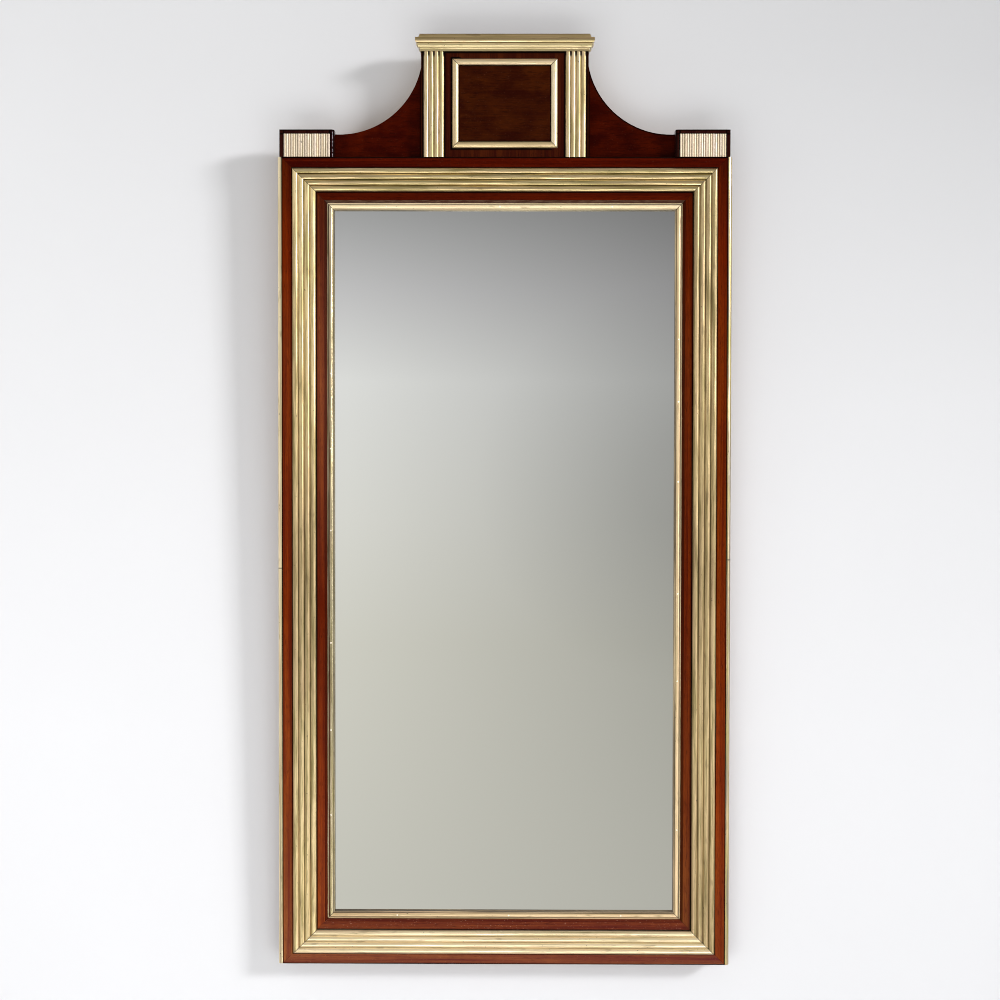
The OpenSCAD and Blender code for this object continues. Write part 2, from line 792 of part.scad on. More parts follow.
module cornice_return(dir) {
    color(brass) on_wall() translate([0, frame_h + tablet_h, 0]) to_side(-dir) intersection() {
        translate([cornice_half, 0, batten_t]) linear_extrude(mitre_out[1] - batten_t)
            cornice_section();
        over_plan([[mitre_in[0], 0], [mitre_out[0], 0], mitre_out, mitre_in]);
    }
}

module cornice_core() {
    half = cornice_half - cornice_stock;
    color(mahogany) on_wall() translate([-half, frame_h + tablet_h, batten_t])
        cube([2 * half, cornice_h, cornice_front_h - cornice_stock - batten_t]);
}

// Hangers

hinge_z = -(strap_t + loop_gap + wire_r + close_gap);
bow_r = strap_w / 2 + ring_side + bend_r;

// A flat strap with three countersunk holes and a loop at its upper end.
module hanger_strap(dir) {
    loop_r = wire_r + loop_gap;
    color(iron) on_wall() difference() {
        translate([dir * hanger_x(), hanger_y, 0]) {
            translate([-strap_w / 2, -strap_l, -strap_t]) cube([strap_w, strap_l, strap_t]);
            translate([-strap_w / 2, 0, hinge_z]) rotate([0, 90, 0])
                cylinder(h = strap_w, r = loop_r + strap_t);
        }
        translate([dir * hanger_x() - strap_w, hanger_y, hinge_z]) rotate([0, 90, 0])
            cylinder(h = 2 * strap_w, r = loop_r);
        at_screws(strap_screws(dir), -strap_t) screw_hole();
    }
}

// A D ring of round wire, hanging down from its straight bar.
module hanger_ring(dir) {
    bar = bow_r - bend_r;
    color(iron) on_wall() translate([dir * hanger_x(), hanger_y, hinge_z]) {
        translate([-bar, 0, 0]) rotate([0, 90, 0]) cylinder(h = 2 * bar, r = wire_r);
        translate([bar, -bend_r, 0]) rotate_extrude(angle = 90) translate([bend_r, 0]) circle(r = wire_r);
        translate([-bar, -bend_r, 0]) rotate(90) rotate_extrude(angle = 90)
            translate([bend_r, 0]) circle(r = wire_r);
        translate([0, -bend_r, 0]) rotate(180) rotate_extrude(angle = 180)
            translate([bow_r, 0]) circle(r = wire_r);
    }
}

module wood_screws() {
    color(iron) on_wall() for (dir = [-1, 1]) {
        at_screws(batten_screws(dir), 0) wood_screw();
        at_screws(strap_screws(dir), -strap_t) wood_screw();
    }
}

stile(-1);  // stile_left
stile(1);  // stile_right
rail_bottom();
rail_top();
side_facing(-1);  // side_facing_left
side_facing(1);  // side_facing_right
bottom_facing();
outer_band("bottom");  // outer_band_bottom
outer_band("right");  // outer_band_right
outer_band("top");  // outer_band_top
outer_band("left");  // outer_band_left
inner_band("bottom");  // inner_band_bottom
inner_band("right");  // inner_band_right
inner_band("top");  // inner_band_top
inner_band("left");  // inner_band_left
reeded_moulding("bottom");  // reeded_moulding_bottom
reeded_moulding("right");  // reeded_moulding_right
reeded_moulding("top");  // reeded_moulding_top
reeded_moulding("left");  // reeded_moulding_left
reeded_cores();
sight_bead("bottom");  // sight_bead_bottom
sight_bead("right");  // sight_bead_right
sight_bead("top");  // sight_bead_top
sight_bead("left");  // sight_bead_left
bead_pins();
edge_strip_left_lower();
edge_strip_left_upper();
edge_strip_right_lower();
edge_strip_right_upper();
crest_board();
crest_veneer();
tablet_block();
tablet_panel();
tablet_moulding("bottom");  // tablet_moulding_bottom
tablet_moulding("right");  // tablet_moulding_right
tablet_moulding("top");  // tablet_moulding_top
tablet_moulding("left");  // tablet_moulding_left
pilaster(-1);  // pilaster_left
pilaster(1);  // pilaster_right
cornice_core();
cornice_front();
cornice_return(-1);  // cornice_return_left
cornice_return(1);  // cornice_return_right
corner_block(-1);  // corner_block_left
corner_block(1);  // corner_block_right
corner_plaque(-1);  // corner_plaque_left
corner_plaque(1);  // corner_plaque_right
mirror_plate();
glazing_blocks();
back_board(0);  // back_board_bottom
back_board(1);  // back_board_middle
back_board(2);  // back_board_top
back_nails();
crest_batten(-1);  // crest_batten_left
crest_batten(1);  // crest_batten_right
wood_screws();
hanger_strap(-1);  // hanger_strap_left
hanger_strap(1);  // hanger_strap_right
hanger_ring(-1);  // hanger_ring_left
hanger_ring(1);  // hanger_ring_right
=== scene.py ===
# %% [markdown]
# # A neoclassical wall mirror in mahogany and brass
# The joiner's work is already done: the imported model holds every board, band, moulding and screw at its
# real size and place. This script only finishes the pieces. It gives each one its own wood, metal or
# glass, softens the edges that a hand would have softened, and then hangs the mirror on a pale wall in soft
# light from a window on the right.
#
# Everything is in metres. X runs to the viewer's right, Y runs into the wall and Z runs up.

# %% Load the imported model
import json
import math
import bpy
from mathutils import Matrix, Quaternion, Vector

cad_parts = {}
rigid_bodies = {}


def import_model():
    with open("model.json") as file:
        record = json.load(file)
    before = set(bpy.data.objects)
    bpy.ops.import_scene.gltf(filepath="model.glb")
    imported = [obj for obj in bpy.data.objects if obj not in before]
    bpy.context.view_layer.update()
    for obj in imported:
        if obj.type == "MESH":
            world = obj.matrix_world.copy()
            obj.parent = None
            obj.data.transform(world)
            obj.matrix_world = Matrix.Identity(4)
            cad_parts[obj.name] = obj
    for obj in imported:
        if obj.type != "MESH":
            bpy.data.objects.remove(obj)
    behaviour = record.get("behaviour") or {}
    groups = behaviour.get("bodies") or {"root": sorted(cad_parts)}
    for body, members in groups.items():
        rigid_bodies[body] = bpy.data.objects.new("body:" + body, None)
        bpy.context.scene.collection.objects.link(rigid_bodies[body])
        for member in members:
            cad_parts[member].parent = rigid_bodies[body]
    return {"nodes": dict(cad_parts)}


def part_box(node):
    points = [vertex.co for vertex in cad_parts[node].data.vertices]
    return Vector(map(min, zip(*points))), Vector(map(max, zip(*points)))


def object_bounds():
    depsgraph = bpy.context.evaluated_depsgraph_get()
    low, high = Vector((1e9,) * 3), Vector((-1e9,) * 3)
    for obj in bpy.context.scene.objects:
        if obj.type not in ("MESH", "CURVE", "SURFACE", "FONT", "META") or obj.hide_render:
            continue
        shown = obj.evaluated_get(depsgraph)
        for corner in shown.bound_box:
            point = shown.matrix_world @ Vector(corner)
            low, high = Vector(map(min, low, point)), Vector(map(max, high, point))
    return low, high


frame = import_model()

cad_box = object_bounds()
nodes = frame["nodes"]

# %% [markdown]
# ## The camera
# A picture of a mirror is taken nearly square on, from the middle of its height and from a few steps away,
# so that its sides look parallel. The photographer stood a little above the middle and a finger's width to
# the right, tilted the camera down by a degree or two and held it a touch askew. A long lens keeps the
# sides straight. Blender's camera looks along its own -Z, and a quaternion that tracks the aim turns it.
# Three angles would do the same, but an eye and an aim are points that can be measured.

# %% Camera
FRONT_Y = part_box("outer_band_left")[0].y
STEP_BACK = 2.8
EYE = Vector((0.0171, FRONT_Y - STEP_BACK, 0.7104))
AIM = Vector((-0.0059, FRONT_Y, 0.6292))
LENS_MM = 72.07
ASKEW = math.radians(0.08)
scene = bpy.context.scene
camera = bpy.data.objects.new("camera", bpy.data.cameras.new("camera"))
scene.collection.objects.link(camera)
camera.location = EYE
camera.rotation_mode = "QUATERNION"
camera.rotation_quaternion = (AIM - EYE).to_track_quat("-Z", "Y") @ Quaternion((0, 0, 1), ASKEW)
camera.data.lens = LENS_MM
scene.camera = camera
scene.view_settings.view_transform = "Standard"
scene.cycles.filter_width = 0.9
tilt = math.degrees(math.atan((EYE - AIM).z / STEP_BACK))
print(f"camera {STEP_BACK} m in front of the bands, tilted {tilt:.1f} degrees")

# %% [markdown]
# ## How a finish is written
# A finish could be a painted image, wrapped round its piece. Here it is a chain of small nodes instead,
# which needs no image, has no seams, and changes with one number. Most chains start from the object's own
# coordinates, so a grain or a scratch stays on its piece from every side, and end in one Principled shader.
# The helper below adds one node at a time. Its inputs take either a plain value or the output of an earlier
# node.

# %% Add a node, start a finish
def add_node(tree, kind, inputs=None, **settings):
    """Adds a shader node, sets its options, and fills or wires its inputs."""
    made = tree.nodes.new("ShaderNode" + kind)
    for option, value in settings.items():
        setattr(made, option, value)
    for socket, value in (inputs or {}).items():
        if isinstance(value, bpy.types.NodeSocket):
            tree.links.new(value, made.inputs[socket])
        else:
            made.inputs[socket].default_value = value
    return made


def new_finish(name, **surface_values):
    """A material with one Principled shader. Values given by name go on the shader's own sockets."""
    material = bpy.data.materials.new(name)
    material.use_nodes = True
    tree = material.node_tree
    tree.nodes.clear()
    output = tree.nodes.new("ShaderNodeOutputMaterial")
    surface = tree.nodes.new("ShaderNodeBsdfPrincipled")
    tree.links.new(surface.outputs["BSDF"], output.inputs["Surface"])
    for socket, value in surface_values.items():
        surface.inputs[socket.replace("_", " ")].default_value = value
    return material, tree, surface


# %% Numbers and colours in a chain
def math_node(tree, operation, first, second=0.0):
    """One sum on two values."""
    return add_node(tree, "Math", {0: first, 1: second}, operation=operation).outputs[0]


def spread(tree, value, low, high, to_low=0.0, to_high=1.0):
    """Stretches the part of a value between low and high over a new range, and stops at its ends."""
    return add_node(tree, "MapRange", {"Value": value, "From Min": low, "From Max": high,
                                       "To Min": to_low, "To Max": to_high}).outputs[0]


def most(tree, *values):
    """The highest of several values."""
    result = values[0]
    for value in values[1:]:
        result = math_node(tree, "MAXIMUM", result, value)
    return result


def blend_colours(tree, share, first, second, mode="MIX"):
    """Mixes two colours by a share. The Mix node has one set of sockets per kind of value: 6 and 7 are the
    colours, and output 2 is the mixed colour."""
    mixed = add_node(tree, "Mix", data_type="RGBA", blend_type=mode)
    sockets = {0: share, 6: first, 7: second}
    for number, value in sockets.items():
        if isinstance(value, bpy.types.NodeSocket):
            tree.links.new(value, mixed.inputs[number])
        else:
            mixed.inputs[number].default_value = value
    return mixed.outputs[2]


def srgb(red, green, blue):
    """A colour as a paint chart gives it, from 0 to 255, turned into the linear light that Blender uses."""
    def linear(part):
        part /= 255
        return part / 12.92 if part <= 0.04045 else ((part + 0.055) / 1.055) ** 2.4
    return (linear(red), linear(green), linear(blue), 1.0)


def scaled(tree, colour, red, green, blue):
    """A colour with a share of its red, green and blue."""
    return blend_colours(tree, 1.0, colour, (red, green, blue, 1.0), mode="MULTIPLY")


def ramp(tree, value, stops):
    """Colours or grey levels along a value, from (position, colour) pairs."""
    made = add_node(tree, "ValToRGB", {"Fac": value})
    for position, tone in stops[1:-1]:
        made.color_ramp.elements.new(position)
    for element, (position, tone) in zip(made.color_ramp.elements, stops):
        element.position = position
        element.color = tone if isinstance(tone, tuple) else (tone, tone, tone, 1.0)
    return made.outputs[0]


print(f"the middle grey of a paint chart is {srgb(128, 128, 128)[0]:.2f} in linear light")


# %% Noise that runs with the grain
def along_grain(tree, along, across_scale, along_scale, shift=0.0):
    """Object coordinates squeezed along one axis, so that what is drawn on them runs with the grain. Another
    shift gives another figure, as from another place in the wood."""
    scale = [across_scale] * 3
    scale["xyz".index(along)] = along_scale
    place = add_node(tree, "TexCoord").outputs["Object"]
    return add_node(tree, "Mapping", {"Vector": place, "Location": (shift, 2 * shift, 3 * shift),
                                      "Scale": scale}).outputs[0]


def noise(tree, vector, scale=1.0, detail=2.0, roughness=0.5, distortion=0.0):
    return add_node(tree, "TexNoise", {"Vector": vector, "Scale": scale, "Detail": detail,
                                       "Roughness": roughness, "Distortion": distortion}).outputs[0]


# %% [markdown]
# ## Where a point lies on the frame
# Grime, polish and tarnish don't fall just anywhere: they gather in hollows, in mitres and beside the next
# piece. Those places are found by measuring. The frame and the small moulding on the tablet are both
# mitred rectangles. In one of them, the distance in from the outside tells on which piece a point lies, and
# the difference between its distances to the nearest side and to the nearest end is zero on a mitre. The
# dark places could be painted by hand on every piece, but a measure finds them on all four sides at once.

# %% Distance in, and distance from a mitre
def edges_of(left_piece, lower_piece, upper_piece):
    """Half width, foot and top of a mitred rectangle, read from the boxes of its members."""
    return -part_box(left_piece)[0].x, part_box(lower_piece)[0].z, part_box(upper_piece)[1].z


def place_in(tree, edges):
    """Where a point lies in a mitred rectangle: distance in from its outside, and from the nearest mitre."""
    half_width, foot, top = edges
    parts = add_node(tree, "SeparateXYZ", {"Vector": add_node(tree, "TexCoord").outputs["Object"]}).outputs
    from_side = math_node(tree, "SUBTRACT", half_width, math_node(tree, "ABSOLUTE", parts["X"]))
    from_end = math_node(tree, "MINIMUM", math_node(tree, "SUBTRACT", top, parts["Z"]),
                         math_node(tree, "SUBTRACT", parts["Z"], foot))
    inwards = math_node(tree, "MINIMUM", from_side, from_end)
    mitre = math_node(tree, "ABSOLUTE", math_node(tree, "SUBTRACT", from_side, from_end))
    return parts, inwards, mitre


def looks_back(tree):
    """How far a face looks towards the wall: 1 straight at it, 0 on the sides and -1 on the front."""
    normal = add_node(tree, "NewGeometry").outputs["True Normal"]
    return add_node(tree, "SeparateXYZ", {"Vector": normal}).outputs["Y"]


def on_slopes(tree):
    """1 on slopes and chamfers, 0 on the flat faces and on the sides."""
    frontal = math_node(tree, "ABSOLUTE", looks_back(tree))
    return math_node(tree, "MULTIPLY", spread(tree, frontal, 0.2, 0.5),
                     spread(tree, frontal, 0.9, 0.97, 1.0, 0.0))


def close_to(tree, value, line, reach, darkness=0.9):
    """darkness on a line, falling to 0 at a distance from it."""
    away = math_node(tree, "ABSOLUTE", math_node(tree, "SUBTRACT", value, line))
    return spread(tree, away, 0.4 * reach, reach, darkness, 0.0)


# %% Dress a piece, soften its edges
WELD_WITHIN = 0.00002
SHARP_ANGLE = math.radians(35)


def dress(material, *names):
    """Gives the finish to the named pieces."""
    for name in names:
        piece = nodes[name] if name in nodes else bpy.data.objects[name]
        piece.data.materials.clear()
        piece.data.materials.append(material)
    print(f"{material.name}: {len(names)} pieces")


def soften(width, *names):
    """Rounds the sharp edges of a piece as sanding does, without touching its mesh."""
    for name in names:
        weld = nodes[name].modifiers.new("weld", "WELD")
        weld.merge_threshold = WELD_WITHIN
        bevel = nodes[name].modifiers.new("sanded edges", "BEVEL")
        bevel.width = width
        bevel.segments = 3
        bevel.limit_method = "ANGLE"
        bevel.angle_limit = SHARP_ANGLE


# %% Measures of the frame
SIDES = ["bottom", "right", "top", "left"]
GRAIN = {"bottom": "x", "right": "z", "top": "x", "left": "z"}
FRAME = edges_of("outer_band_left", "outer_band_bottom", "outer_band_top")
RING = edges_of("tablet_moulding_left", "tablet_moulding_bottom", "tablet_moulding_top")
BAND_END = FRAME[0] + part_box("outer_band_left")[1].x
REEDS_START = FRAME[0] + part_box("reeded_moulding_left")[0].x
REEDS_END = FRAME[0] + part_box("reeded_moulding_left")[1].x
BEAD_START = FRAME[0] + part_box("sight_bead_left")[0].x
BEAD_END = FRAME[0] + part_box("sight_bead_left")[1].x
REED_COUNT = 4
REED_PITCH = (REEDS_END - REEDS_START) / REED_COUNT
print(f"bands end at {1000 * BAND_END:.1f} mm, reeds of {1000 * REED_PITCH:.1f} mm, "
      f"bead from {1000 * BEAD_START:.1f} mm")

# %% [markdown]
# ## Mahogany
# The frame is veneered and faced in mahogany with a shellac polish. Three things make it read as that wood.
# Long ribbons of lighter and darker red run with the grain. Fine lines and short dark pores lie in them. A
# thin clear coat over the top gives a soft reflection, while the colour comes from below. The ribbons,
# lines and pores are noise, squeezed to the length and width that they have in the wood. A real band has
# thousands of pores, far too many to model, so they are only colour and a slight bump. Each member takes
# its grain along its own length, as a joiner would cut it. The crest and the panel are cut from a mottled
# veneer, so clouds take the place of the ribbons there. The tone follows the height, lighter at the foot of
# the frame and almost black on the crest: part of that is the wood's own tone, and part is painted light for
# the stronger light and the floor's sheen at the foot. A dark line of painted shade lies wherever one piece
# meets the next, the mitres are darker, the slopes carry painted shade and those at the top a painted sheen,
# and the left block carries one broken painted highlight down its front edge.

# %% Mahogany finish
SHADE_AND_JOINT_DARK = srgb(3, 1, 1)
SLOPE_SHEEN = srgb(150, 130, 108)
WAX_SPECK = srgb(190, 140, 116)
EDGE_HIGHLIGHT = srgb(170, 164, 172)


def mahogany(name, along, tones, shift, sheen=0.0, wax=0.04, slope_shade=0.45, shade_and_joints_at=None,
             highlight_at=None, cloudy=0.0):
    """tones are the wood's colours from the foot of the frame to its top, partly the wood's own and partly
    painted light. worn is how much painted sheen lies on its slopes, and wax how much stands in its pores.
    shade_and_joints_at tells where painted shade and darker joints lie, and highlight_at where a painted
    highlight runs.
    cloudy is how far a mottled figure takes the place of straight ribbons."""
    material, tree, surface = new_finish(name, Roughness=0.38, Coat_Weight=0.35, Coat_Roughness=0.14,
                                         Coat_IOR=1.12, Specular_IOR_Level=0.01)
    parts, inwards, mitre = place_in(tree, FRAME)
    tone = ramp(tree, spread(tree, parts["Z"], FRAME[1], FRAME[2]), tones)
    ribbons = noise(tree, along_grain(tree, along, 150, 1.8, shift), detail=2, distortion=0.3)
    lines = noise(tree, along_grain(tree, along, 620, 8, shift), detail=3, roughness=0.6)
    pores = noise(tree, along_grain(tree, along, 1500, 110, shift), detail=1)
    mottle = noise(tree, along_grain(tree, along, 26, 48, shift), detail=2)
    figure = math_node(tree, "ADD", math_node(tree, "MULTIPLY", ribbons, 0.55),
                       math_node(tree, "MULTIPLY", lines, 0.45))
    if cloudy:
        clouds = noise(tree, along_grain(tree, along, 60, 34, shift + 3), detail=4)
        figure = math_node(tree, "ADD", math_node(tree, "MULTIPLY", figure, 1.0 - cloudy),
                           math_node(tree, "MULTIPLY", clouds, cloudy))
    wood = blend_colours(tree, spread(tree, figure, 0.40, 0.60), scaled(tree, tone, 0.62, 0.42, 0.55),
                         scaled(tree, tone, 1.38, 1.62, 0.9))
    wood = blend_colours(tree, spread(tree, mottle, 0.35, 0.7, 0.0, 0.35), wood,
                         scaled(tree, tone, 0.66, 0.55, 0.6))
    wood = blend_colours(tree, spread(tree, pores, 0.56, 0.7, 0.0, 0.6), wood,
                         scaled(tree, tone, 0.3, 0.25, 0.3))
    slope = on_slopes(tree)
    # Painted shade darkens the slopes, and a painted sheen, broken by a noise, lies on them where one is
    # given.
    sheen_on_slopes = noise(tree, along_grain(tree, along, 300, 60, shift + 6), detail=3)
    sheen_on_slopes = math_node(tree, "MULTIPLY", slope, spread(tree, sheen_on_slopes, 0.4, 0.6, 0.4 * sheen, sheen))
    wood = blend_colours(tree, math_node(tree, "MULTIPLY", slope, slope_shade), wood, SHADE_AND_JOINT_DARK)
    wood = blend_colours(tree, sheen_on_slopes, wood, SLOPE_SHEEN)
    specks = noise(tree, along_grain(tree, along, 900, 420, shift + 4), detail=1)
    wood = blend_colours(tree, spread(tree, specks, 0.68, 0.76, 0.0, wax), wood, WAX_SPECK)
    # Painted shade and darker joints, and a painted highlight, where the functions given put them.
    if shade_and_joints_at:
        wood = blend_colours(tree, shade_and_joints_at(tree, parts, inwards, mitre), wood, SHADE_AND_JOINT_DARK)
    if highlight_at:
        wood = blend_colours(tree, highlight_at(tree, parts), wood, EDGE_HIGHLIGHT)
    tree.links.new(wood, surface.inputs["Base Color"])
    grain_height = math_node(tree, "SUBTRACT", math_node(tree, "MULTIPLY", lines, 0.5),
                             spread(tree, pores, 0.58, 0.72, 0.0, 0.6))
    bump = add_node(tree, "Bump", {"Strength": 0.25, "Distance": 0.0002, "Height": grain_height})
    tree.links.new(bump.outputs[0], surface.inputs["Normal"])
    return material


# %% Painted shade beside the brass
RING_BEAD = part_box("tablet_moulding_left")[1].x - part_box("tablet_moulding_left")[0].x


def frame_shade_and_mitres(tree, parts, inwards, mitre):
    """Painted shade in the corners beside the brass, where it stands proud, and darker mitres."""
    inner_band = math_node(tree, "GREATER_THAN", inwards, (REEDS_START + REEDS_END) / 2)
    beside_reeds = spread(tree, inwards, REEDS_END + 0.0009, REEDS_END + 0.0025, 0.96, 0.0)
    return most(tree, close_to(tree, inwards, 0.0, 0.0023, 0.95),
                close_to(tree, inwards, BAND_END, 0.0013, 0.7),
                math_node(tree, "MULTIPLY", inner_band, beside_reeds),
                spread(tree, mitre, 0.0002, 0.0007, 0.35, 0.0))


def tablet_shade(tree, parts, inwards, mitre):
    """Painted shade: dark lines beside the pilasters, under the cornice and along the inside of the tablet
    moulding, and along its outside at the lower left."""
    across = math_node(tree, "ABSOLUTE", parts["X"])
    in_ring = place_in(tree, RING)[1]
    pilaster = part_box("pilaster_right")
    unshaded_above = RING[2] - 0.06
    lower_left = math_node(tree, "LESS_THAN", math_node(tree, "ADD", parts["X"], parts["Z"]), unshaded_above)
    outside_ring = math_node(tree, "MULTIPLY", close_to(tree, in_ring, -0.0006, 0.0026, 0.97), lower_left)
    return most(tree, close_to(tree, across, pilaster[0].x, 0.0032, 0.97),
                close_to(tree, across, pilaster[1].x, 0.0034, 0.97),
                close_to(tree, parts["Z"], pilaster[1].z, 0.0030, 0.97), outside_ring,
                close_to(tree, in_ring, RING_BEAD, 0.0016))


print(f"the tablet moulding is {1000 * RING_BEAD:.1f} mm wide")


# %% Painted shade on the crest
SCROLL_R = 0.1171
SCROLL_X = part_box("tablet_block")[1].x - 0.0016 + SCROLL_R
SCROLL_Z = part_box("tablet_block")[1].z + 0.0048


def crest_shade_and_tone(tree, parts, inwards, mitre):
    """A dark line of painted shade where the crest meets the frame and the tablet, a dark line along the edge
    of the right scroll, and a darker tone towards the right."""
    across = math_node(tree, "ABSOLUTE", parts["X"])
    sideways = math_node(tree, "SUBTRACT", parts["X"], SCROLL_X)
    upwards = math_node(tree, "SUBTRACT", parts["Z"], SCROLL_Z)
    from_middle = add_node(tree, "CombineXYZ", {0: sideways, 2: upwards}).outputs[0]
    radius = add_node(tree, "VectorMath", {0: from_middle}, operation="LENGTH").outputs["Value"]
    return most(tree, close_to(tree, parts["Z"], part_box("crest_board")[0].z, 0.0022),
                close_to(tree, across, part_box("tablet_block")[1].x, 0.003),
                close_to(tree, radius, SCROLL_R, 0.0027), spread(tree, parts["X"], 0.05, 0.16, 0.0, 0.22))


print(f"scrolls of {1000 * SCROLL_R:.0f} mm radius, centred {1000 * SCROLL_X:.0f} mm from the middle")


# %% Painted shade in the recess and painted highlight on the edge of a corner block
def block_shade(tree, parts, inwards, mitre):
    """Painted shade in the recess round a plaque and along the block's upper edge."""
    across = math_node(tree, "ABSOLUTE", parts["X"])
    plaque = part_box("corner_plaque_left")
    return most(tree, close_to(tree, across, -plaque[1].x, 0.0019),
                close_to(tree, across, -plaque[0].x, 0.0015),
                close_to(tree, parts["Z"], plaque[1].z, 0.0016),
                close_to(tree, parts["Z"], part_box("corner_block_left")[1].z, 0.0024, 0.9))


def block_edge_highlight(tree, parts):
    """A broken painted highlight down the chamfer of the left block, where its front edge catches the light,
    that starts a little below its top.
    """
    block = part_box("corner_block_left")
    broken = noise(tree, along_grain(tree, "z", 200, 420, 1.1), detail=2)
    broken = math_node(tree, "MULTIPLY", spread(tree, broken, 0.4, 0.56),
                       spread(tree, parts["Z"], block[1].z - 0.0030, block[1].z - 0.0018, 1.0, 0.0))
    return math_node(tree, "MULTIPLY", close_to(tree, parts["X"], block[1].x - 0.0021, 0.0008, 0.6), broken)


# %% Tones of the bands, from the foot up
def one_tone(*colour):
    """The same colour at every height."""
    return [(0.0, srgb(*colour)), (1.0, srgb(*colour))]


def toned(tones, red, green, blue):
    """The same tones, each with a share of its red, green and blue."""
    return [(place, (red * tone[0], green * tone[1], blue * tone[2], 1.0)) for place, tone in tones]


# These tones are partly the wood's own and partly painted light: each side and height is lighter or darker as
# the light falls on it, and the foot and the bottom band are lighter for the floor's sheen.
STILE_TONES = [(0.0, srgb(134, 74, 50)), (0.2, srgb(122, 52, 24)), (0.45, srgb(112, 38, 5)),
               (0.75, srgb(107, 40, 13)), (0.88, srgb(100, 29, 2)), (1.0, srgb(75, 21, 2))]
OUTER_TONES = {"bottom": one_tone(115, 58, 46), "top": one_tone(67, 10, 0),
               "right": [(0.0, srgb(126, 54, 21)), (0.2, srgb(115, 40, 8)), (0.45, srgb(102, 35, 3)),
                         (0.75, srgb(100, 35, 3)), (0.88, srgb(94, 25, 1)), (1.0, srgb(68, 16, 1))],
               "left": STILE_TONES}
INNER_TONES = {"bottom": one_tone(104, 45, 31), "top": one_tone(70, 14, 1),
               "right": toned(STILE_TONES, 0.63, 0.58, 0.5),
               "left": [(0.0, srgb(126, 55, 29)), (0.2, srgb(113, 41, 16)), (0.45, srgb(84, 20, 1)),
                        (0.72, srgb(111, 53, 37)), (1.0, srgb(61, 15, 2))]}
print(f"{len(STILE_TONES)} tones from the foot of a stile to its top")

# %% Dress the wood
for number, side in enumerate(SIDES):
    for kind, tones in (("outer_band", OUTER_TONES), ("inner_band", INNER_TONES)):
        band = mahogany(f"mahogany_{kind}_{side}", GRAIN[side], tones[side], 0.37 * number,
                        sheen=0.24 if side == "top" else 0.0, wax=0.4 if side == "bottom" else 0.04,
                        slope_shade=0.1 if side == "bottom" else 0.45, shade_and_joints_at=frame_shade_and_mitres)
        dress(band, f"{kind}_{side}")
dress(mahogany("mahogany_underside", "x", one_tone(104, 38, 16), 2.1), "bottom_facing")
dress(mahogany("mahogany_sides", "z", one_tone(98, 32, 12), 2.9), "side_facing_left", "side_facing_right")
dress(mahogany("mahogany_crest", "x", one_tone(57, 8, 0), 3.3, shade_and_joints_at=crest_shade_and_tone, cloudy=0.7),
      "crest_veneer")
dress(mahogany("mahogany_tablet", "z", one_tone(56, 18, 7), 4.1, shade_and_joints_at=tablet_shade),
      "tablet_block", "cornice_core")
dress(mahogany("mahogany_panel", "x", one_tone(49, 15, 3), 5.3, shade_and_joints_at=tablet_shade, cloudy=0.6),
      "tablet_panel")
dress(mahogany("mahogany_blocks", "z", one_tone(40, 12, 11), 6.1, shade_and_joints_at=block_shade,
               highlight_at=block_edge_highlight), "corner_block_left", "corner_block_right")
soften(0.0005, "corner_block_left", "corner_block_right", "tablet_block", "tablet_panel")

# %% [markdown]
# ## Drawn brass
# The mouldings are thin brass drawn over wood. Drawing leaves faint straight lines along the length, and
# two centuries of polishing leave a soft shine with long shallow waves in it. The hollows between the reeds
# and the mitres are dark: the cloth never reaches them, so they hold tarnish, and the hollows carry painted
# shade as well. The reeds are real shapes from the imported model, because a bump on a flat face would look
# flat from the side. Only the fine lines and the waves are bump. The metal is a Principled shader, and its
# metallic value falls from one where the metal is darkened. Noise that is stretched along the member makes
# the streaks of brown and rosy brass, and broader noise the smudges. Each of the four sides of the frame has
# its own grey levels from foot to top: partly tarnish, and partly painted light, lighter or darker as the
# light falls on that side. The hollows are found from the distance in from the outside of the frame, because
# the reeds lie at equal steps. Those of a pilaster or a plaque are counted from its outer side. On the
# pilasters they end in dots of painted shadow under the cornice.

# %% Brass finish
BRIGHT = (1.0, 0.82, 0.45, 1.0)
OLIVE = (0.36, 0.30, 0.11, 1.0)
ROSY = (0.90, 0.64, 0.42, 1.0)
PALE = (1.0, 0.88, 0.60, 1.0)
GRIME_AND_SHADE = srgb(40, 26, 14)
SMUDGE = (0.26, 0.19, 0.09, 1.0)


